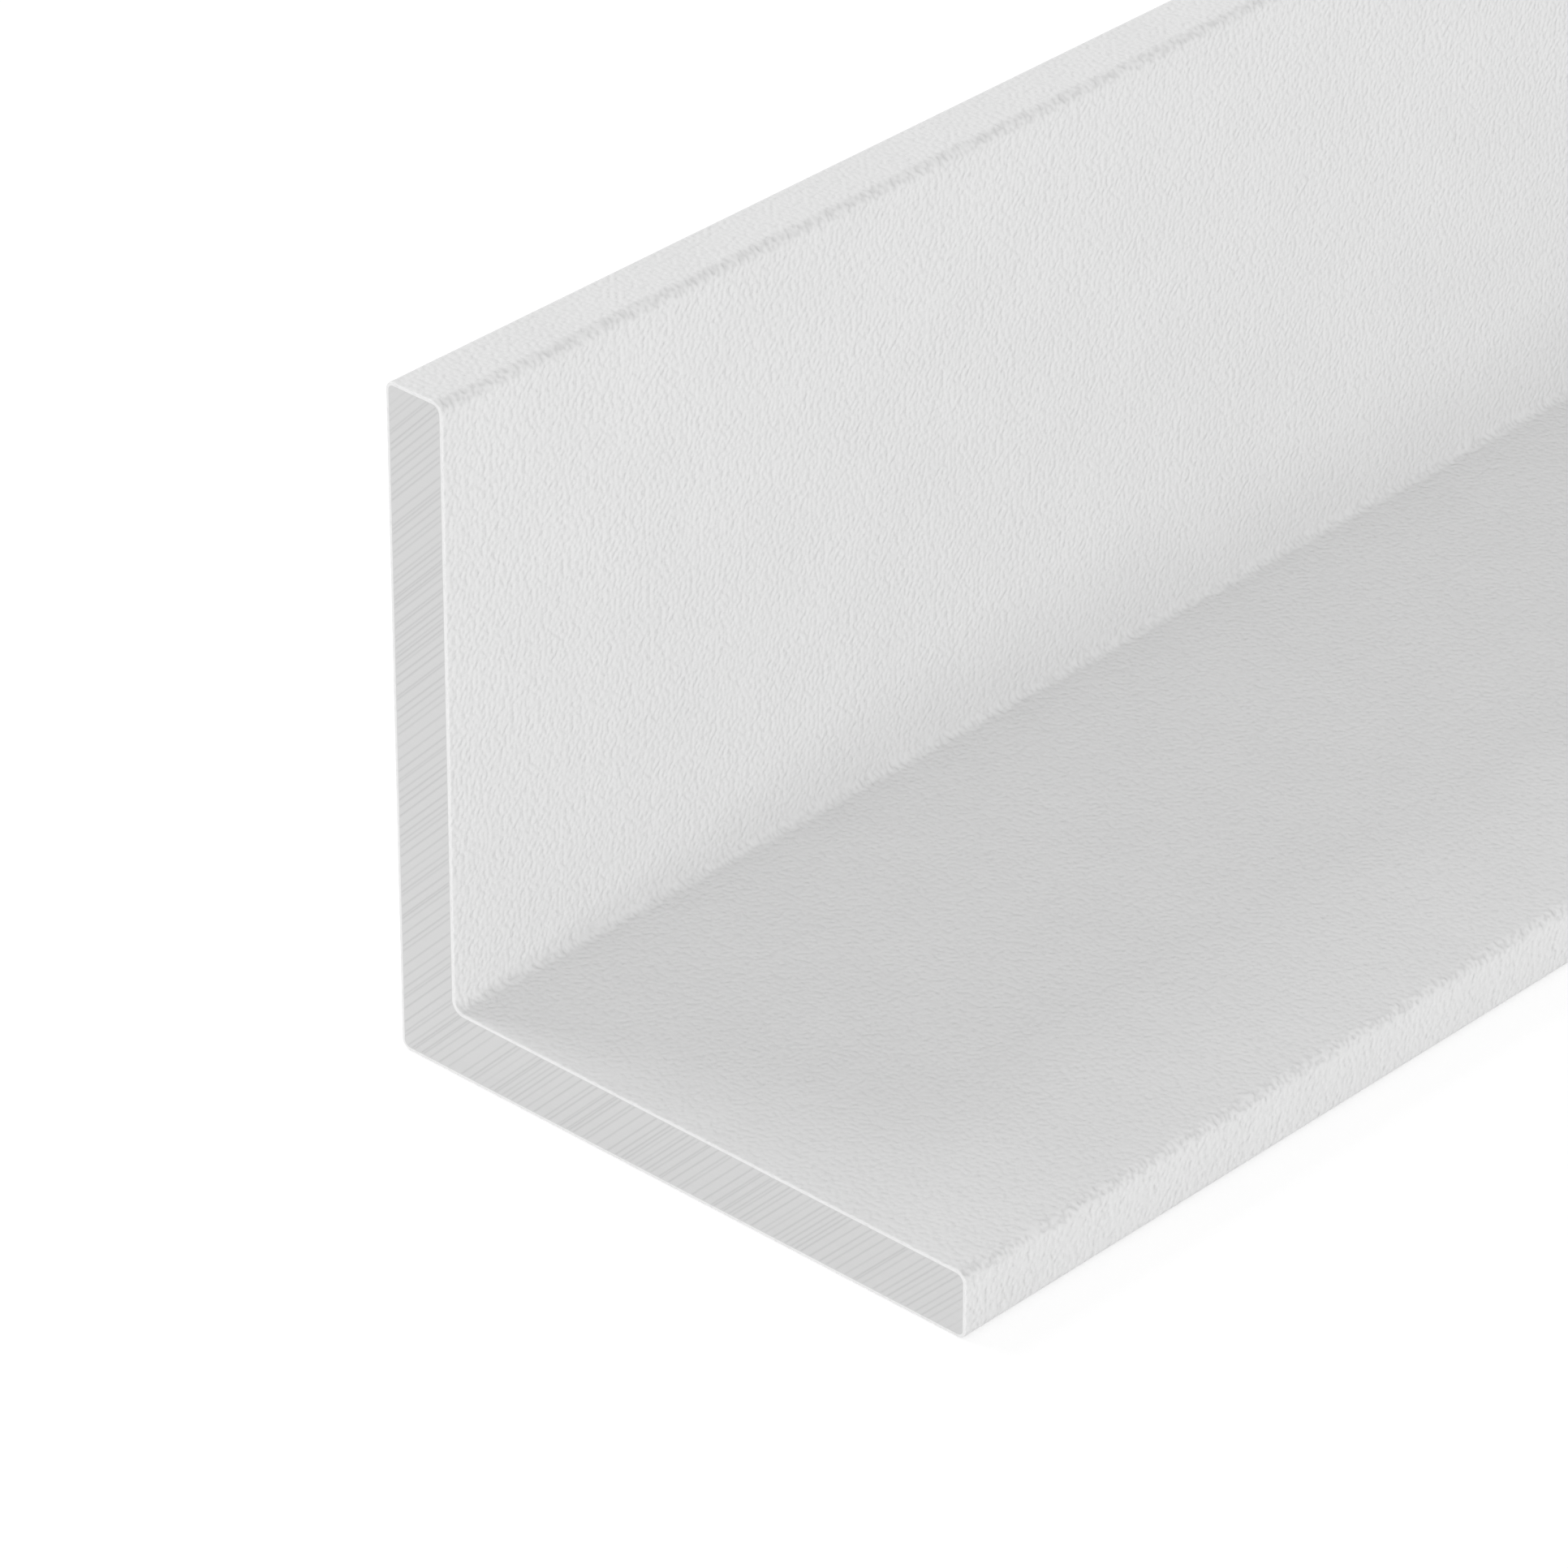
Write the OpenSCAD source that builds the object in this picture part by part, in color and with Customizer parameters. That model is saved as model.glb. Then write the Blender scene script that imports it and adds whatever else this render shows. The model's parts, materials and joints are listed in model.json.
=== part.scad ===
// Aluminium angle profile: an extruded L section with equal legs and a white coat, sawn to length.
// It lies on its base leg, with X across the base, Y along the length and Z up the upright leg.
// The origin is on the floor, under the middle of the bounding box.

/* [Section] */
// Width of the base leg, measured outside
base_leg = 20; // [10:1:60]
// Height of the upright leg, measured outside
upright_leg = 20; // [10:1:60]
// Thickness of both legs, coat included
wall = 2; // [1:0.1:5]

/* [Edges] */
// Radius on the heel, the outside corner where the legs meet
heel_radius = 0.3; // [0.1:0.05:1]
// Radius of the fillet in the root, the inside corner where the legs meet
root_radius = 0.3; // [0.1:0.05:2]
// Radius on the inner edge of each leg's toe
toe_inner_radius = 0.35; // [0.1:0.05:0.45]
// Radius on the outer edge of each leg's toe
toe_outer_radius = 0.25; // [0.1:0.05:0.45]

/* [Stock] */
// Length between the two sawn ends
stock_length = 1000; // [100:50:3000]

/* [Hidden] */

// Sides of a full circle, where an edge is drawn as a polygon
$fn = 48;

// The web left in a square corner by a round of the given radius.
// The corner is at the origin, and the round is tangent to both axes.
module corner_web(radius) {
  difference() {
    square(radius);
    translate([radius, radius])
      circle(radius);
  }
}

// A corner web moved to a corner of the section, and turned to face into the metal there
module web_at(corner, turn, radius) {
  translate(corner)
    rotate(turn)
      corner_web(radius);
}

// The two legs with the fillet between them, before their outer edges are rounded
module square_edged_section() {
  square([base_leg, wall]);
  square([wall, upright_leg]);
  web_at([wall, wall], 0, root_radius);
}

// The finished cross-section, drawn with its heel at the origin
module angle_section() {
  difference() {
    square_edged_section();
    web_at([0, 0], 0, heel_radius);
    web_at([base_leg, 0], 90, toe_outer_radius);
    web_at([base_leg, wall], 180, toe_inner_radius);
    web_at([wall, upright_leg], 180, toe_inner_radius);
    web_at([0, upright_leg], 270, toe_outer_radius);
  }
}

// The section carried along the whole length, lying on the base leg
module angle_profile() {
  color("whitesmoke")
    translate([-base_leg / 2, 0, 0])
      rotate([90, 0, 0])
        linear_extrude(stock_length, center = true)
          angle_section();
}

angle_profile();
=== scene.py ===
"""White powder-coated aluminium angle profile, seen from above its sawn end.

The profile is one closed surface worked out with numpy. The outline of the L section is carried
along the length, turned over a small round at each end, and closed there by a ring of cut coat
and a bare sawn face, whose saw marks are real grooves. Lengths are in metres. X runs across the
base leg, Y along the profile and Z up the upright leg.
"""

import json
import logging
import math
from dataclasses import dataclass, field
from enum import Enum

import bpy
import numpy as np
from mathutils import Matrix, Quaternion, Vector
from numpy.typing import NDArray


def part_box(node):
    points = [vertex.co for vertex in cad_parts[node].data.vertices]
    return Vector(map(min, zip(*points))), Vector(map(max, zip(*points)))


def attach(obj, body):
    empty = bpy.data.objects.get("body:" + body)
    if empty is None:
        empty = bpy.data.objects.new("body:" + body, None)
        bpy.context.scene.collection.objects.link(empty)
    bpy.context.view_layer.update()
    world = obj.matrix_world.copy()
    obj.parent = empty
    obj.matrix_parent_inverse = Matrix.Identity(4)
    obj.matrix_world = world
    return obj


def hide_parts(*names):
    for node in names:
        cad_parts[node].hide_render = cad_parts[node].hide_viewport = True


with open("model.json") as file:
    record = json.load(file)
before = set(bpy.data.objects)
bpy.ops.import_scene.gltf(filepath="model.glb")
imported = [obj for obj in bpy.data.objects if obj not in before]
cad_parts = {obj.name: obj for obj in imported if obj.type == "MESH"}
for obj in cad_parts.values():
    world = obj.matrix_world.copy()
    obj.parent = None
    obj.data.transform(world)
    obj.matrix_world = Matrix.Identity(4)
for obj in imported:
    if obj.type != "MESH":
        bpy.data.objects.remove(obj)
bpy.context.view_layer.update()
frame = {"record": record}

LOG = logging.getLogger("angle_profile")

MM = 0.001
NODE = "angle_profile"
BODY = "root"
PIECE = "coated_profile"
# Point attribute with the shade painted along the coat's rounded edges and root, and into the saw
# marks.
PAINTED_SHADE_ATTRIBUTE = "painted_shade"

Array = NDArray[np.float64]
Indices = NDArray[np.int64]


class End(Enum):
    """The two sawn ends of the profile, each with the way that it faces along Y."""

    FRONT = -1
    REAR = 1


class Skin(Enum):
    """The two surfaces of the profile, in the order of its material slots."""

    COAT = 0
    SAWN = 1


class Blend(Enum):
    """What a Mix node blends, each with the ending of its sockets' names."""

    RGBA = "Color"
    FLOAT = "Float"


# The section


def unit(angle: Array) -> Array:
    """Directions in the section's plane: the cosine of each angle across, and its sine up.

    Args:
        angle: Angles from +X towards +Z, in radians.

    Returns:
        One unit vector (x, z) for each angle.
    """
    return np.stack([np.cos(angle), np.sin(angle)], axis=-1)


@dataclass(frozen=True)
class Corner:
    """A rounded corner of the section, met while walking round it with the metal on the left.

    Attributes:
        across: Where the sharp corner would be, along X from the heel.
        up: Where the sharp corner would be, along Z from the heel.
        radius: Radius of the round or fillet.
        start_deg: Direction of the outward normal before the corner.
        turn_deg: How far the normal turns: 90 round an outside corner, -90 in the root.
        painted_shade: Shade painted on the coat at the middle of the corner, from 0 to 1.
    """

    across: float
    up: float
    radius: float
    start_deg: float
    turn_deg: float = 90.0
    painted_shade: float = 1.0

    def arc(self, steps: int) -> tuple[Array, Array]:
        """Points on the corner's arc.

        The centre lies one radius from both faces, in the metal for a round and outside it for a
        fillet. A point is the centre plus or minus the radius along its normal.

        Args:
            steps: Number of chords in the arc.

        Returns:
            The points and their outward normals, as (x, z) rows.
        """
        side = math.copysign(1.0, self.turn_deg)
        angles = np.radians(self.start_deg + self.turn_deg * np.linspace(0.0, 1.0, steps + 1))
        normals = unit(angles)
        centre = np.array([self.across, self.up]) - side * self.radius * (normals[0] + normals[-1])
        return centre + side * self.radius * normals, normals


@dataclass(frozen=True)
class Outline:
    """A closed outline of the section, from the middle of the base toe's outer edge.

    Attributes:
        points: (x, z) rows, with the metal on the left.
        normals: The outward normal at each point.
        painted_shade: Shade painted on the coat: 0 on a face, the corner's own at the middle of an
            arc.
        run: Distance walked to each point.
        girth: Distance all the way round.
    """

    points: Array
    normals: Array
    painted_shade: Array
    run: Array
    girth: float

    def inset(self, depth: float) -> Array:
        """The outline moved into the metal: each point less the depth along its normal.

        Args:
            depth: How far into the metal.

        Returns:
            (x, z) rows.
        """
        return self.points - depth * self.normals


@dataclass(frozen=True)
class AngleSection:
    """The L section: two legs of one thickness, rounded at the heel, the root and the toes.

    Attributes:
        across_leg: Width of the base leg, measured outside.
        upright_leg: Height of the upright leg, measured outside.
        wall: Thickness of both legs, coat included.
        heel_radius: Radius on the outside corner where the legs meet.
        root_radius: Radius of the fillet in the inside corner.
        toe_inner_radius: Radius on the inner edge of each leg's toe.
        toe_outer_radius: Radius on the outer edge of each leg's toe.
        root_shade: Shade painted on the coat in the root.
        outer_shade: Shade painted on the coat on the heel and the outer edges of the toes.
    """

    across_leg: float
    upright_leg: float
    wall: float
    heel_radius: float = 0.3 * MM
    root_radius: float = 0.3 * MM
    toe_inner_radius: float = 0.35 * MM
    toe_outer_radius: float = 0.25 * MM
    root_shade: float = 0.65
    outer_shade: float = 0.2

    def corners(self) -> list[Corner]:
        """The six corners, walked from the base toe with the metal on the left.

        Returns:
            The corners in that order.
        """
        return [
            Corner(self.across_leg, 0.0, self.toe_outer_radius, -90.0, painted_shade=self.outer_shade),
            Corner(self.across_leg, self.wall, self.toe_inner_radius, 0.0),
            Corner(self.wall, self.wall, self.root_radius, 90.0, -90.0, self.root_shade),
            Corner(self.wall, self.upright_leg, self.toe_inner_radius, 0.0),
            Corner(0.0, self.upright_leg, self.toe_outer_radius, 90.0, painted_shade=self.outer_shade),
            Corner(0.0, 0.0, self.heel_radius, 180.0, painted_shade=self.outer_shade),
        ]

    def outline(self, arc_steps: int, face_step: float) -> Outline:
        """The section's outline: an arc at each corner, joined by straight faces.

        A face runs evenly from the end of one arc to the start of the next. The painted shade is a
        half wave of sine along each arc, times the corner's own.

        Args:
            arc_steps: Chords in each arc, an even number.
            face_step: Longest step along a straight face.

        Returns:
            The outline, which starts half way along the base toe's outer arc.
        """
        corners = self.corners()
        arcs = [corner.arc(arc_steps) for corner in corners]
        following = arcs[1:] + arcs[:1]
        rise = np.sin(np.linspace(0.0, math.pi, arc_steps + 1))
        points, normals, painted_shade = [], [], []
        for corner, (arc_points, arc_normals), (next_points, _) in zip(corners, arcs, following):
            span = next_points[0] - arc_points[-1]
            count = math.ceil(np.linalg.norm(span) / face_step)
            share = np.linspace(0.0, 1.0, count + 1)[1:-1, None]
            points += [arc_points, arc_points[-1] + share * span]
            normals += [arc_normals, np.repeat(arc_normals[-1:], count - 1, axis=0)]
            # Painted shade: darkest at the middle of each arc, none on the faces.
            painted_shade += [corner.painted_shade * rise, np.zeros(count - 1)]
        ring, ring_normals, ring_shade = (
            np.roll(np.concatenate(parts), -(arc_steps // 2), axis=0)
            for parts in (points, normals, painted_shade)
        )
        chords = np.linalg.norm(np.roll(ring, -1, axis=0) - ring, axis=1)
        run = np.concatenate([[0.0], np.cumsum(chords)])
        return Outline(ring, ring_normals, ring_shade, run[:-1], float(run[-1]))


@dataclass(frozen=True)
class SawMarks:
    """The marks that the saw's teeth left: straight grooves at 45 degrees to both legs.

    Attributes:
        pitch: Mean distance from one groove to the next.
        spread: How much the pitch varies, as a share of it.
        half_width: Distance from a groove's middle to where it has a third of its depth.
        depth: Depth of the deepest groove.
        usual: Usual share of that depth.
        unevenness: How much the share varies from groove to groove.
        closest: Smallest gap between two grooves, as a share of the pitch.
        widest: Largest gap between two grooves, as a share of the pitch.
        shallowest: Smallest share of the depth.
        surplus: How many times the usual number of grooves is drawn, so that they reach across.
        seed: Seed of the random draws.
    """

    pitch: float = 0.165 * MM
    spread: float = 0.42
    half_width: float = 0.026 * MM
    depth: float = 0.009 * MM
    usual: float = 0.86
    unevenness: float = 0.13
    closest: float = 0.35
    widest: float = 2.2
    shallowest: float = 0.4
    surplus: float = 1.3
    seed: int = 20

    def profile(self, places: Array, end: End) -> tuple[Array, Array]:
        """Share of the full depth across the marks, and its slope.

        Each groove is a bell, exp(-(distance / half_width)^2), times its own share of the depth.
        The profile is the deepest groove at each place.

        Args:
            places: Distances across the marks, in rising order.
            end: Which end is sawn, because each has its own grooves.

        Returns:
            The share of the depth at each place, from 0 to 1, and its rate of change.
        """
        draws = np.random.default_rng(self.seed + end.value)
        count = math.ceil((places[-1] - places[0]) / self.pitch * self.surplus)
        steps = np.clip(draws.normal(1.0, self.spread, count), self.closest, self.widest)
        grooves = places[0] + np.cumsum(self.pitch * steps)
        shares = np.clip(draws.normal(self.usual, self.unevenness, count), self.shallowest, 1.0)
        bells = shares * np.exp(-(((places[:, None] - grooves) / self.half_width) ** 2))
        profile = bells.max(axis=1)
        return profile, np.gradient(profile, places)


# The profile's surface


@dataclass
class SurfaceBuilder:
    """Patches of one surface, gathered with their normals, skins and painted shade.

    Attributes:
        points: (x, y, z) rows of each patch.
        normals: The outward normal at each point.
        painted_shade: Shade painted on the finish at each point.
        faces: Point indices of each face.
        skins: Skin of each face, as the number of its material slot.
        count: Number of points so far.
    """

    points: list[Array] = field(default_factory=list)
    normals: list[Array] = field(default_factory=list)
    painted_shade: list[Array] = field(default_factory=list)
    faces: list[list[int]] = field(default_factory=list)
    skins: list[Indices] = field(default_factory=list)
    count: int = 0

    def add_points(self, points: Array, normals: Array, painted_shade: Array) -> int:
        """Adds points to the surface.

        Args:
            points: (x, y, z) rows.
            normals: Outward normals, of any length.
            painted_shade: Shade painted on the finish at each point, along an edge or in a groove,
                from 0 to 1.

        Returns:
            The index of the first point added.
        """
        first = self.count
        self.points.append(points)
        self.normals.append(normals / np.linalg.norm(normals, axis=1, keepdims=True))
        self.painted_shade.append(painted_shade)
        self.count += len(points)
        return first

    def add_faces(self, faces: Indices, skin: Skin, flip: bool = False) -> None:
        """Adds faces between points that are already there.

        Args:
            faces: One row of point indices for each face, counter-clockwise from outside.
            skin: The surface that the faces belong to.
            flip: Whether the rows run clockwise and are turned round.
        """
        rows = faces[:, ::-1] if flip else faces
        self.faces += rows.tolist()
        self.skins.append(np.full(len(rows), skin.value))

    def mesh(self, name: str) -> bpy.types.Mesh:
        """The gathered surface as a smooth mesh with its exact normals.

        Args:
            name: Name of the mesh.

        Returns:
            The mesh, with the painted shade in a point attribute.
        """
        mesh = bpy.data.meshes.new(name)
        mesh.from_pydata(np.concatenate(self.points).tolist(), [], self.faces)
        mesh.polygons.foreach_set("material_index", np.concatenate(self.skins).astype(np.int32))
        mesh.polygons.foreach_set("use_smooth", np.ones(len(self.faces), dtype=bool))
        attribute = mesh.attributes.new(PAINTED_SHADE_ATTRIBUTE, "FLOAT", "POINT")
        attribute.data.foreach_set("value", np.concatenate(self.painted_shade).astype(np.float32))
        mesh.normals_split_custom_set_from_vertices(np.concatenate(self.normals).tolist())
        mesh.update()
        return mesh


def lift(section_points: Array, y: Array | float) -> Array:
    """Points of the section's plane set at a place along the length.

    Args:
        section_points: (x, z) rows.
        y: Place along the length, one for all or one for each row.

    Returns:
        (x, y, z) rows.
    """
    along = np.broadcast_to(y, len(section_points))
    return np.stack([section_points[:, 0], along, section_points[:, 1]], axis=1)


def read_off(places: Array, along: Array, rows: Array) -> Array:
    """Rows of numbers read off at chosen places, straight between the rows that are known.

    Args:
        places: Places to read at.
        along: Place of each known row.
        rows: The known rows.

    Returns:
        One row for each place.
    """
    order = np.argsort(along, kind="stable")
    columns = rows[order].T
    return np.stack([np.interp(places, along[order], column) for column in columns], axis=1)


def zip_rings(
    fine: Indices, fine_run: Array, coarse: Indices, coarse_run: Array, girth: float
) -> Indices:
    """Triangles between two closed rings that have different numbers of points.

    Each edge of the fine ring is joined to the coarse point nearest along the walk, and each
    edge of the coarse ring to the fine point where that nearest point changes.

    Args:
        fine: Point indices of the inner, finer ring.
        fine_run: Walk to each fine point, rising from 0.
        coarse: Point indices of the outer ring.
        coarse_run: Walk to each coarse point, rising from 0.
        girth: Walk all the way round.

    Returns:
        One row of three indices for each triangle, counter-clockwise where both rings are.
    """
    fine_middle = (fine_run + np.append(fine_run[1:], girth)) / 2.0
    coarse_middle = (coarse_run + np.append(coarse_run[1:], girth)) / 2.0
    nearest = coarse[np.searchsorted(coarse_middle, fine_middle) % len(coarse)]
    change = fine[np.searchsorted(fine_middle, coarse_middle) % len(fine)]
    inward = np.stack([np.roll(fine, -1), fine, nearest], axis=1)
    outward = np.stack([coarse, np.roll(coarse, -1), change], axis=1)
    return np.concatenate([inward, outward])


@dataclass(frozen=True)
class SawnEdges:
    """The edge of a sawn face, read off at even places across the saw marks.

    Attributes:
        places: Distances across the marks, from the upright leg's tip to the base leg's.
        outer: Point of the outer edge at each place, as (x, z) rows.
        inner: Point of the inner edge at each place, as (x, z) rows.
        outer_run: Walk round the outline to each outer point.
        inner_run: Walk round the outline to each inner point.
    """

    places: Array
    outer: Array
    inner: Array
    outer_run: Array
    inner_run: Array


@dataclass
class AngleProfile:
    """The whole profile: a coated skin, a rounded rim at each end, and two sawn faces.

    Attributes:
        section: The L section, with its heel at the origin of its plane.
        heel: Where the heel of the section is, in X and Z.
        ends: Y of the front and the rear sawn end.
        marks: The saw marks.
        coat: Thickness of the coat, which shows as a ring round each sawn face.
        rim_depth: How far the edge between the skin and the sawn end is drawn in by its round.
        rim_length: How far along the skin that round reaches.
        arc_steps: Chords in each corner of the section.
        face_step: Longest step along a straight face of the section.
        ring_step: Longest step along the length.
        rim_steps: Chords in the rim's round.
        mark_step: Step across the saw marks.
        mark_run_out: Share of the wall over which a saw mark runs out at each edge.
        edge_refinement: How many times finer than the skin's the sawn face's corners are.
    """

    section: AngleSection
    heel: tuple[float, float]
    ends: tuple[float, float]
    marks: SawMarks = field(default_factory=SawMarks)
    coat: float = 0.090 * MM
    rim_depth: float = 0.020 * MM
    rim_length: float = 0.065 * MM
    arc_steps: int = 12
    face_step: float = 1.0 * MM
    ring_step: float = 20.0 * MM
    rim_steps: int = 6
    mark_step: float = 0.0125 * MM
    mark_run_out: float = 0.03
    edge_refinement: int = 4

    def in_place(self, section_points: Array) -> Array:
        """Section points moved so that the heel is where the frame has it."""
        return section_points + np.array(self.heel)

    def add_skin(self, surface: SurfaceBuilder, outline: Outline) -> tuple[int, int]:
        """The coated skin: the outline carried along Y, over the rim's round at both ends.

        The round is a quarter of an oval. At angle t the outline is moved in by depth (1 - cos t)
        and stands length (1 - sin t) in from the end. Its normal is length cos t of the outline's
        own and depth sin t of the end's. The painted shade is the outline's own times cos t.

        Args:
            surface: The surface to add to.
            outline: The section's outline.

        Returns:
            The index of the first point of the front ring and of the rear ring.
        """
        rim = np.radians(np.linspace(90.0, 0.0, self.rim_steps + 1))
        straight = (self.ends[0] + self.rim_length, self.ends[1] - self.rim_length)
        count = math.ceil((straight[1] - straight[0]) / self.ring_step)
        along = np.linspace(*straight, count + 1)[1:-1]
        tilt = np.concatenate([rim, np.zeros(len(along)), rim[::-1]])
        facing = np.concatenate([-np.ones(len(rim)), np.zeros(len(along)), np.ones(len(rim))])
        setback = self.rim_length * (1.0 - np.sin(rim))
        y = np.concatenate([self.ends[0] + setback, along, self.ends[1] - setback[::-1]])
        depth = self.rim_depth * (1.0 - np.cos(tilt))

        rings, points = len(y), len(outline.points)
        section_points = outline.points[None] - depth[:, None, None] * outline.normals[None]
        placed = self.in_place(section_points.reshape(-1, 2))
        outward = self.rim_length * np.cos(tilt)[:, None, None] * outline.normals[None]
        endward = np.repeat(self.rim_depth * np.sin(tilt) * facing, points)
        normals = lift(outward.reshape(-1, 2), endward)
        painted_shade = np.cos(tilt)[:, None] * outline.painted_shade
        first = surface.add_points(lift(placed, np.repeat(y, points)), normals, painted_shade.ravel())

        ring, step = np.meshgrid(np.arange(rings - 1), np.arange(points), indexing="ij")
        here, beside = ring * points + step, ring * points + (step + 1) % points
        quads = np.stack([here, here + points, beside + points, beside], axis=-1).reshape(-1, 4)
        surface.add_faces(first + quads, Skin.COAT)
        return first, first + (rings - 1) * points

    def sawn_edges(self) -> SawnEdges:
        """The sawn face's edge, sorted along the direction across the saw marks.

        The marks run along x = z. Along both the outer and the inner edge, from one toe tip to
        the other, x - z always rises, so each mark meets each edge once.

        Returns:
            The outer and the inner edge, read off at the same places.
        """
        fine = self.section.outline(self.edge_refinement * self.arc_steps, self.face_step)
        ring = np.column_stack([fine.inset(self.coat), fine.run])
        closing = np.append(ring[0, :2], fine.girth)
        edge = np.concatenate([ring, closing[None]])
        along = (edge[:, 0] - edge[:, 1]) / math.sqrt(2.0)
        tip = int(np.argmin(along))
        columns = math.ceil((along[0] - along[tip]) / self.mark_step)
        places = np.linspace(along[tip], along[0], columns + 1)
        inner = read_off(places, along[: tip + 1], edge[: tip + 1])
        outer = read_off(places, along[tip:], edge[tip:])
        return SawnEdges(places, outer[:, :2], inner[:, :2], outer[:, 2], inner[:, 2])

    def add_end(self, surface: SurfaceBuilder, outline: Outline, ring: int, end: End) -> None:
        """One sawn end: the bare face with its grooves, and the ring of cut coat round it.

        The face is ruled by the saw marks. At place p and share s it is the outer edge plus s of
        the way to the inner edge, sunk by the groove's depth at p, which fades out at both edges.

        Args:
            surface: The surface to add to.
            outline: The section's outline, as in the skin.
            ring: Index of the first point of the skin's ring at this end.
            end: Which end it is.
        """
        front = end is End.FRONT
        y = self.ends[0] if front else self.ends[1]
        edges = self.sawn_edges()
        groove, slope = self.marks.profile(edges.places, end)
        share = np.array([0.0, self.mark_run_out, 0.5, 1.0 - self.mark_run_out, 1.0])
        fade = np.array([0.0, 1.0, 1.0, 1.0, 0.0])

        body = slice(1, -1)
        columns, rows = len(edges.places) - 2, len(share)
        across = (edges.inner - edges.outer)[body]
        grid = edges.outer[body, None] + share[:, None] * across[:, None]
        span = np.linalg.norm(across, axis=1)[:, None]
        fade = fade * np.clip(span / self.section.wall, 0.0, 1.0)
        sunk = groove[body, None] * fade
        tilt = self.marks.depth * slope[body, None] * fade / math.sqrt(2.0)
        level = y - end.value * self.marks.depth * sunk
        normals = np.stack([tilt, np.full_like(tilt, end.value), -tilt], axis=-1)
        placed = lift(self.in_place(grid.reshape(-1, 2)), level.ravel())
        # The grooves' depth also sets the shade painted into the sawn face's colour.
        cells = surface.add_points(placed, normals.reshape(-1, 3), sunk.ravel())
        facing = np.tile([0.0, float(end.value), 0.0], (2, 1))
        tip_points = lift(self.in_place(edges.outer[[0, -1]]), y)
        tips = surface.add_points(tip_points, facing, np.zeros(2))

        column, row = np.meshgrid(np.arange(columns - 1), np.arange(rows - 1), indexing="ij")
        here = cells + column * rows + row
        quads = np.stack([here, here + rows, here + rows + 1, here + 1], axis=-1).reshape(-1, 4)
        surface.add_faces(quads, Skin.SAWN, flip=not front)
        first, last = cells + np.arange(rows), cells + (columns - 1) * rows + np.arange(rows)
        low = np.stack([np.full(rows - 1, tips), first[:-1], first[1:]], axis=1)
        high = np.stack([np.full(rows - 1, tips + 1), last[1:], last[:-1]], axis=1)
        surface.add_faces(np.concatenate([low, high]), Skin.SAWN, flip=not front)

        inner_edge = cells + np.arange(columns)[::-1] * rows + rows - 1
        outer_edge = cells + np.arange(columns) * rows
        edge = np.concatenate([[tips + 1], inner_edge, [tips], outer_edge])
        walk = np.concatenate(
            [[0.0], edges.inner_run[body][::-1], edges.inner_run[:1], edges.outer_run[body]]
        )
        coat_edge = ring + np.arange(len(outline.points))
        strip = zip_rings(edge, walk, coat_edge, outline.run, outline.girth)
        surface.add_faces(strip, Skin.COAT, flip=not front)

    def build(self) -> bpy.types.Object:
        """The finished profile, as one closed mesh at the origin.

        Returns:
            The object, linked to the scene.
        """
        surface = SurfaceBuilder()
        outline = self.section.outline(self.arc_steps, self.face_step)
        front_ring, rear_ring = self.add_skin(surface, outline)
        self.add_end(surface, outline, front_ring, End.FRONT)
        self.add_end(surface, outline, rear_ring, End.REAR)
        piece = bpy.data.objects.new(PIECE, surface.mesh(PIECE))
        bpy.context.scene.collection.objects.link(piece)
        return piece


# The finishes


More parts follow.
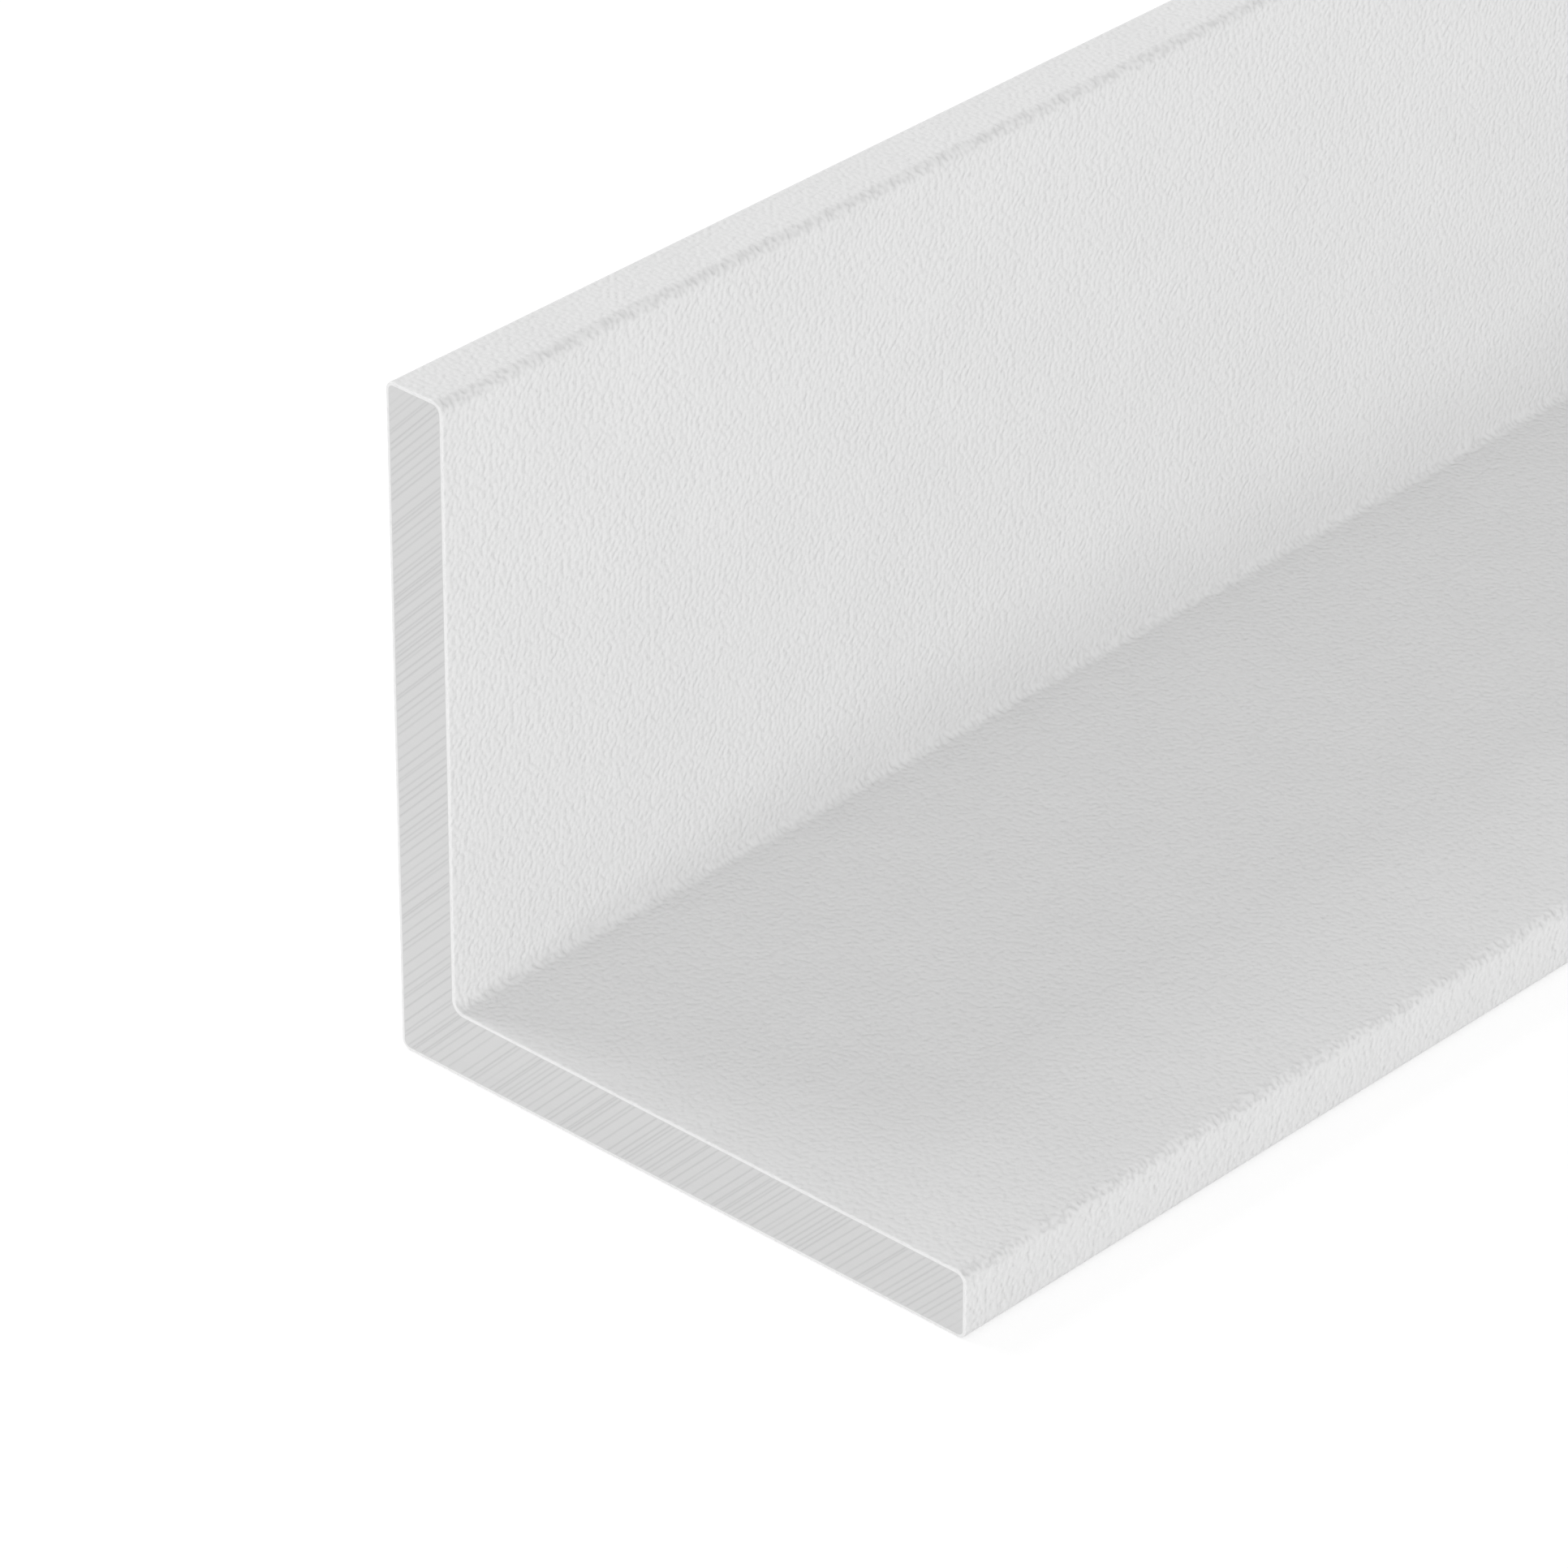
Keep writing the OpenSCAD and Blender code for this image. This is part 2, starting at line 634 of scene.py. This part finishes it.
class Graph:
    """A node tree with short ways to add and join nodes."""

    def __init__(self, tree: bpy.types.NodeTree) -> None:
        """Takes the tree to add to, and empties it."""
        self.tree = tree
        tree.nodes.clear()

    def add(
        self, kind: str, settings: dict[str, object] | None = None, **values: object
    ) -> bpy.types.Node:
        """Adds a node.

        Args:
            kind: The node's type name, such as ShaderNodeBump.
            settings: Properties of the node.
            **values: Inputs by name, with underscores for spaces: a number, a colour or a socket.

        Returns:
            The node.
        """
        node = self.tree.nodes.new(kind)
        for name, value in (settings or {}).items():
            setattr(node, name, value)
        for name, value in values.items():
            self.put(node.inputs[name.replace("_", " ")], value)
        return node

    def put(self, socket: bpy.types.NodeSocket, value: object) -> None:
        """Links a socket to an input, or sets the input's own value.

        Args:
            socket: The input.
            value: A number, a colour or an output's socket.
        """
        if isinstance(value, bpy.types.NodeSocket):
            self.tree.links.new(value, socket)
        else:
            socket.default_value = value

    def math(self, operation: str, first: object, second: object) -> bpy.types.NodeSocket:
        """Adds a Math node.

        Args:
            operation: The node's operation, such as ADD.
            first: First number or socket.
            second: Second number or socket.

        Returns:
            The result's socket.
        """
        node = self.add("ShaderNodeMath", {"operation": operation})
        self.put(node.inputs[0], first)
        self.put(node.inputs[1], second)
        return node.outputs[0]

    def mix(
        self, factor: object, low: object, high: object, blend: Blend = Blend.RGBA
    ) -> bpy.types.NodeSocket:
        """Adds a Mix node.

        Args:
            factor: Share of the second value.
            low: Value at factor 0.
            high: Value at factor 1.
            blend: Whether the values are colours or numbers.

        Returns:
            The result's socket.
        """
        node = self.add("ShaderNodeMix", {"data_type": blend.name})
        sockets = {socket.identifier: socket for socket in (*node.inputs, *node.outputs)}
        self.put(sockets["Factor_Float"], factor)
        self.put(sockets[f"A_{blend.value}"], low)
        self.put(sockets[f"B_{blend.value}"], high)
        return sockets[f"Result_{blend.value}"]

    def level(
        self, value: object, low: float, high: float, to: tuple[float, float] = (0.0, 1.0)
    ) -> bpy.types.NodeSocket:
        """Adds a Map Range node, which is clamped.

        Args:
            value: The number or socket to map.
            low: Where the range starts.
            high: Where the range ends.
            to: What the start and the end become.

        Returns:
            The result's socket.
        """
        node = self.add("ShaderNodeMapRange", Value=value, From_Min=low, From_Max=high)
        self.put(node.inputs["To Min"], to[0])
        self.put(node.inputs["To Max"], to[1])
        return node.outputs["Result"]


def grey(level: float) -> tuple[float, float, float, float]:
    """An opaque neutral colour of that level."""
    return level, level, level, 1.0


@dataclass(frozen=True)
class FineRelief:
    """The fine relief that both finishes share.

    Attributes:
        steepness: Power that flattens the noise's crests and steepens its hollows.
        pit_levels: Levels of the noise where a pit starts and where it is deepest.
        mottle_cells: Cells of the mottling for each cell of the grain, along a line.
        mottle_detail: Detail of the mottling.
        mottle_levels: Levels of the broader noise where the mottling is 0 and 1.
    """

    steepness: float = 1.8
    pit_levels: tuple[float, float] = (0.45, 0.2)
    mottle_cells: float = 0.06
    mottle_detail: float = 2.0
    mottle_levels: tuple[float, float] = (0.3, 0.7)

    def group(self) -> bpy.types.NodeTree:
        """The relief as a node group.

        The height is 1 - (1 - n)^steepness, where n is a noise of the given grain size. The low
        parts of that noise are the pits, and a broader noise is a slow mottling.

        Returns:
            The group, with inputs Vector, Grain and Detail and outputs Height, Pits and Mottle.
        """
        group = bpy.data.node_groups.new("fine_relief", "ShaderNodeTree")
        graph = Graph(group)
        for name, kind in (("Vector", "Vector"), ("Grain", "Float"), ("Detail", "Float")):
            group.interface.new_socket(name, in_out="INPUT", socket_type=f"NodeSocket{kind}")
        for name in ("Height", "Pits", "Mottle"):
            group.interface.new_socket(name, in_out="OUTPUT", socket_type="NodeSocketFloat")
        inputs = graph.add("NodeGroupInput").outputs
        outputs = graph.add("NodeGroupOutput").inputs
        place, detail = inputs["Vector"], inputs["Detail"]
        cells = graph.math("DIVIDE", 1.0, inputs["Grain"])
        fine = graph.add("ShaderNodeTexNoise", Vector=place, Scale=cells, Detail=detail)
        broad_cells = graph.math("MULTIPLY", cells, self.mottle_cells)
        broad = graph.add(
            "ShaderNodeTexNoise", Vector=place, Scale=broad_cells, Detail=self.mottle_detail
        )
        depth = graph.math("SUBTRACT", 1.0, fine.outputs["Fac"])
        hollow = graph.math("POWER", depth, self.steepness)
        graph.put(outputs["Height"], graph.math("SUBTRACT", 1.0, hollow))
        graph.put(outputs["Pits"], graph.level(fine.outputs["Fac"], *self.pit_levels))
        graph.put(outputs["Mottle"], graph.level(broad.outputs["Fac"], *self.mottle_levels))
        return group


@dataclass(frozen=True)
class PowderCoat:
    """Fine-textured white powder coat, satin, with a soft grain like orange peel.

    Attributes:
        colour: Level of the coat's white.
        pit_shade_colour: Level of the shade painted into the pits of the grain.
        edge_shade_colour: Level of the shade painted in flecks along the rounded edges and in the
            root.
        roughness: Roughness on the grain's crests.
        pit_roughness: Roughness in the pits.
        mottle: How far the mottling lightens and darkens the white, as a share of it.
        fleck_levels: Levels of the grain where a fleck starts and where it is darkest.
        fleck_least: Share of the edge's painted shade that shows between the flecks.
        grain: Cell size of the grain.
        relief: Height of the grain from pit to crest.
    """

    colour: float = 0.80
    pit_shade_colour: float = 0.785
    edge_shade_colour: float = 0.708
    roughness: float = 0.46
    pit_roughness: float = 0.56
    mottle: float = 0.01
    fleck_levels: tuple[float, float] = (0.82, 0.60)
    fleck_least: float = 0.15
    grain: float = 0.146 * MM
    relief: float = 0.040 * MM

    def material(self, relief: bpy.types.NodeTree) -> bpy.types.Material:
        """The coat's material.

        Args:
            relief: The fine relief group.

        Returns:
            The material, on Object coordinates and the painted shade attribute.
        """
        material = bpy.data.materials.new("white_powder_coat")
        material.use_nodes = True
        graph = Graph(material.node_tree)
        place = graph.add("ShaderNodeTexCoord").outputs["Object"]
        node = graph.add(
            "ShaderNodeGroup", {"node_tree": relief}, Vector=place, Grain=self.grain, Detail=0.0
        )
        height, pits, mottle = (node.outputs[name] for name in ("Height", "Pits", "Mottle"))
        dull = grey(self.colour * (1.0 - self.mottle))
        bright = grey(self.colour * (1.0 + self.mottle))
        white = graph.mix(mottle, dull, bright)
        # Painted shade: the grain's pits are darker in the colour.
        pit_shaded = graph.mix(pits, white, grey(self.pit_shade_colour))
        # Painted shade: darker flecks along the rounded edges and in the root.
        painted_shade = graph.add("ShaderNodeAttribute", {"attribute_name": PAINTED_SHADE_ATTRIBUTE}).outputs["Fac"]
        flecks = graph.level(height, *self.fleck_levels, (self.fleck_least, 1.0))
        colour = graph.mix(graph.math("MULTIPLY", painted_shade, flecks), pit_shaded, grey(self.edge_shade_colour))
        rough = graph.mix(pits, self.roughness, self.pit_roughness, Blend.FLOAT)
        bump = graph.add("ShaderNodeBump", Strength=1.0, Distance=self.relief, Height=height)
        shader = graph.add(
            "ShaderNodeBsdfPrincipled",
            Base_Color=colour,
            Roughness=rough,
            Normal=bump.outputs["Normal"],
        )
        graph.add("ShaderNodeOutputMaterial", Surface=shader.outputs["BSDF"])
        return material


@dataclass(frozen=True)
class SawnAluminium:
    """Bare sawn aluminium: a matt grey metal with darker saw marks and fine drag lines.

    Attributes:
        colour: Level of the clean metal.
        mark_shade_colour: Level at the bottom of a saw mark, with shade painted into the groove.
        roughness: Roughness of the clean metal.
        mark_roughness: Roughness at the bottom of a saw mark.
        drag_width: Width of the drag lines between the marks.
        drag_length: How many times longer than wide a drag line is.
        drag_relief: Height of the drag lines.
        drag_contrast: How far the drag lines lighten and darken the metal, as a share of it.
        drag_detail: Detail of the drag lines.
        cut_deg: Angle of the saw's cut to the base leg.
    """

    colour: float = 0.645
    mark_shade_colour: float = 0.58
    roughness: float = 0.42
    mark_roughness: float = 0.62
    drag_width: float = 0.03 * MM
    drag_length: float = 60.0
    drag_relief: float = 0.001 * MM
    drag_contrast: float = 0.015
    drag_detail: float = 2.0
    cut_deg: float = 45.0

    def material(self, relief: bpy.types.NodeTree) -> bpy.types.Material:
        """The sawn metal's material.

        Args:
            relief: The fine relief group, drawn out here along the saw's cut.

        Returns:
            The material, on Object coordinates and the wear attribute.
        """
        material = bpy.data.materials.new("sawn_aluminium")
        material.use_nodes = True
        graph = Graph(material.node_tree)
        place = graph.add("ShaderNodeTexCoord").outputs["Object"]
        drawn = graph.add(
            "ShaderNodeMapping",
            Vector=place,
            Rotation=(0.0, math.radians(self.cut_deg), 0.0),
            Scale=(1.0 / self.drag_length, 1.0, 1.0),
        )
        node = graph.add(
            "ShaderNodeGroup",
            {"node_tree": relief},
            Vector=drawn.outputs["Vector"],
            Grain=self.drag_width,
            Detail=self.drag_detail,
        )
        drag = node.outputs["Height"]
        groove = graph.add("ShaderNodeAttribute", {"attribute_name": PAINTED_SHADE_ATTRIBUTE}).outputs["Fac"]
        dull = grey(self.colour * (1.0 - self.drag_contrast))
        bright = grey(self.colour * (1.0 + self.drag_contrast))
        metal = graph.mix(drag, dull, bright)
        # Painted shade: the saw marks darken towards their bottoms.
        colour = graph.mix(groove, metal, grey(self.mark_shade_colour))
        rough = graph.mix(groove, self.roughness, self.mark_roughness, Blend.FLOAT)
        bump = graph.add("ShaderNodeBump", Strength=1.0, Distance=self.drag_relief, Height=drag)
        shader = graph.add(
            "ShaderNodeBsdfPrincipled",
            Base_Color=colour,
            Metallic=1.0,
            Roughness=rough,
            Normal=bump.outputs["Normal"],
        )
        graph.add("ShaderNodeOutputMaterial", Surface=shader.outputs["BSDF"])
        return material


# The light, the camera and the floor


def viewing_direction(azimuth: float, elevation: float) -> Vector:
    """The direction from a target to a viewer.

    Args:
        azimuth: Degrees round the target: 0 is at -Y and 90 at +X.
        elevation: Degrees above the floor.

    Returns:
        A unit vector.
    """
    turn, rise = math.radians(azimuth), math.radians(elevation)
    flat = math.cos(rise)
    return Vector((math.sin(turn) * flat, -math.cos(turn) * flat, math.sin(rise)))


@dataclass(frozen=True)
class Softbox:
    """A square soft lamp that faces the profile's front end.

    Attributes:
        name: Name of the lamp.
        azimuth: Way round the end, in degrees: 0 is in front, 90 on the open side.
        elevation: Height above the floor, in degrees.
        distance: Distance from the end.
        size: Width and height of the lamp.
        level: What it adds to a white surface that faces it.
        past_floor: Whether the floor lets its light through, for a lamp that stands in the floor.
    """

    name: str
    azimuth: float
    elevation: float
    distance: float
    size: float
    level: float
    past_floor: bool = False

    def place(self, target: Vector, lit: bpy.types.Collection) -> None:
        """Puts the lamp in the scene, with the power that gives its level at the target.

        A square lamp of power P lights a surface at distance d, which faces it, with P / (pi d)^2
        times what a white surface sends back.

        Args:
            target: The point that the lamp faces.
            lit: What a lamp in the floor lights and is shaded by.
        """
        data = bpy.data.lights.new(self.name, "AREA")
        data.shape = "SQUARE"
        data.size = self.size
        data.energy = self.level * (math.pi * self.distance) ** 2
        lamp = bpy.data.objects.new(self.name, data)
        back = viewing_direction(self.azimuth, self.elevation)
        lamp.location = target + back * self.distance
        lamp.rotation_mode = "QUATERNION"
        lamp.rotation_quaternion = (-back).to_track_quat("-Z", "Y")
        if self.past_floor:
            lamp.light_linking.receiver_collection = lit
            lamp.light_linking.blocker_collection = lit
        bpy.context.scene.collection.objects.link(lamp)


@dataclass(frozen=True)
class Viewpoint:
    """The camera: where it stands round the sawn end, and its lens.

    Attributes:
        name: Name of the camera.
        azimuth: Way round the end, in degrees.
        elevation: Height above the floor, in degrees.
        roll: Turn about the line of sight, in degrees.
        distance: Distance from the aim, which lies in the plane of the sawn end.
        aim_across: The aim's distance from the back face.
        aim_up: The aim's height above the floor.
        lens: Focal length in millimetres, on the sensor's width.
        sensor: Width of the sensor in millimetres.
        near_share: Distance of the nearest thing that it can see, as a share of its own.
    """

    name: str = "view_of_sawn_end"
    azimuth: float = 43.004
    elevation: float = 30.981
    roll: float = 0.06
    distance: float = 217.32 * MM
    aim_across: float = 13.767 * MM
    aim_up: float = 13.737 * MM
    lens: float = 202.05
    sensor: float = 36.0
    near_share: float = 0.05

    def place(self, heel: Vector) -> None:
        """Puts the camera in the scene and makes it the scene's own.

        Args:
            heel: The heel of the sawn end that it looks at.
        """
        data = bpy.data.cameras.new(self.name)
        data.lens = self.lens
        data.sensor_width = self.sensor
        data.clip_start = self.distance * self.near_share
        camera = bpy.data.objects.new(self.name, data)
        back = viewing_direction(self.azimuth, self.elevation)
        camera.location = heel + Vector((self.aim_across, 0.0, self.aim_up)) + back * self.distance
        camera.rotation_mode = "QUATERNION"
        roll = Quaternion((0.0, 0.0, 1.0), math.radians(self.roll))
        camera.rotation_quaternion = (-back).to_track_quat("-Z", "Y") @ roll
        bpy.context.scene.collection.objects.link(camera)
        bpy.context.scene.camera = camera


@dataclass
class Studio:
    """A white room: a pale floor, an even surrounding light, and two soft lamps.

    Attributes:
        surround: Level of the even light from all sides.
        floor_half: Half the width of the floor.
        floor_drop: Gap under the profile, so that the floor and its base never share a plane.
        floor_colour: Level of the floor's white.
        floor_glow: White that the floor shows to the viewer before any light falls on it.
        floor_shade: Share of the light on the floor that the viewer sees, with its shadows.
        lamps: The soft lamps.
    """

    surround: float = 0.701
    floor_half: float = 12.0
    floor_drop: float = 0.01 * MM
    floor_colour: float = 0.84
    floor_glow: float = 0.70
    floor_shade: float = 0.40
    lamps: tuple[Softbox, ...] = (
        Softbox(
            name="left_lamp",
            azimuth=270.0,
            elevation=38.0,
            distance=4.0,
            size=2.67,
            level=0.346,
        ),
        Softbox(
            name="floor_level_lamp",
            azimuth=39.5,
            elevation=4.0,
            distance=4.0,
            size=1.78,
            level=0.435,
            past_floor=True,
        ),
    )

    def shown_white(self, graph: Graph) -> bpy.types.NodeSocket:
        """What the camera, metal and glass see, told apart from other light.

        Args:
            graph: The node tree to add to.

        Returns:
            A socket that is 1 for what is seen and 0 for other light.
        """
        path = graph.add("ShaderNodeLightPath").outputs
        seen = graph.math("MAXIMUM", path["Is Camera Ray"], path["Is Glossy Ray"])
        return graph.math("MAXIMUM", seen, path["Is Transmission Ray"])

    def place_surround(self) -> None:
        """The world: white to the viewer, and an even light on the profile."""
        world = bpy.data.worlds.new("white_room")
        world.use_nodes = True
        graph = Graph(world.node_tree)
        strength = graph.mix(self.shown_white(graph), self.surround, 1.0, Blend.FLOAT)
        light = graph.add("ShaderNodeBackground", Color=grey(1.0), Strength=strength)
        graph.add("ShaderNodeOutputWorld", Surface=light.outputs["Background"])
        bpy.context.scene.world = world

    def floor_material(self) -> bpy.types.Material:
        """The floor's material: matt white, shown nearly white to the viewer with its shadows.

        Returns:
            The material.
        """
        material = bpy.data.materials.new("pale_floor")
        material.use_nodes = True
        graph = Graph(material.node_tree)
        matt = graph.add("ShaderNodeBsdfDiffuse", Color=grey(self.floor_colour))
        shaded = graph.add("ShaderNodeBsdfDiffuse", Color=grey(self.floor_shade))
        glow = graph.add("ShaderNodeEmission", Color=grey(1.0), Strength=self.floor_glow)
        shown = graph.add("ShaderNodeAddShader")
        graph.put(shown.inputs[0], shaded.outputs["BSDF"])
        graph.put(shown.inputs[1], glow.outputs["Emission"])
        surface = graph.add("ShaderNodeMixShader", Fac=self.shown_white(graph))
        graph.put(surface.inputs[1], matt.outputs["BSDF"])
        graph.put(surface.inputs[2], shown.outputs["Shader"])
        graph.add("ShaderNodeOutputMaterial", Surface=surface.outputs["Shader"])
        return material

    def place_floor(self) -> None:
        """The floor: a flat grid of x and y, each from minus to plus its half width."""
        half = self.floor_half
        x, y = np.meshgrid([-half, half], [-half, half])
        points = np.stack([x.ravel(), y.ravel(), np.full(x.size, -self.floor_drop)], axis=1)
        mesh = bpy.data.meshes.new("floor")
        mesh.from_pydata(points.tolist(), [], [[0, 1, 3, 2]])
        mesh.materials.append(self.floor_material())
        floor = bpy.data.objects.new("floor", mesh)
        bpy.context.scene.collection.objects.link(floor)

    def build(self, target: Vector, piece: bpy.types.Object) -> None:
        """Builds the floor, the surround and the lamps.

        Args:
            target: The point that the lamps face.
            piece: The profile, which a lamp in the floor lights past it.
        """
        self.place_floor()
        self.place_surround()
        lit = bpy.data.collections.new("lit_past_the_floor")
        lit.objects.link(piece)
        for lamp in self.lamps:
            lamp.place(target, lit)
            LOG.info("%s: level %.3f", lamp.name, lamp.level)
        bpy.context.scene.view_settings.view_transform = "Standard"


# Building it all


def mount_place(name: str) -> Vector:
    """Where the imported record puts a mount.

    Args:
        name: The mount's name.

    Returns:
        The mount's point.
    """
    mounts = {mount["name"]: mount for mount in frame["record"]["mounts"]}
    return Vector(mounts[name]["pos_m"])


def main() -> None:
    """Builds the profile on its solid, dresses it, and sets the studio and the camera."""
    logging.basicConfig(level=logging.INFO, format="%(name)s: %(message)s")
    low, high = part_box(NODE)
    section = AngleSection(
        across_leg=high.x - low.x,
        upright_leg=high.z - low.z,
        wall=mount_place("base_inner_face").z - low.z,
    )
    profile = AngleProfile(section=section, heel=(low.x, low.z), ends=(low.y, high.y))
    piece = profile.build()
    relief = FineRelief().group()
    for finish in (PowderCoat(), SawnAluminium()):
        piece.data.materials.append(finish.material(relief))
    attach(piece, BODY)
    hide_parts(NODE)
    mesh = piece.data
    LOG.info("%s: %d points, %d faces", piece.name, len(mesh.vertices), len(mesh.polygons))

    front_heel = Vector((low.x, low.y, low.z))
    middle = front_heel + Vector((section.across_leg, 0.0, section.upright_leg)) / 2.0
    Studio().build(middle, piece)
    Viewpoint().place(front_heel)


if __name__ == "__main__":
    main()
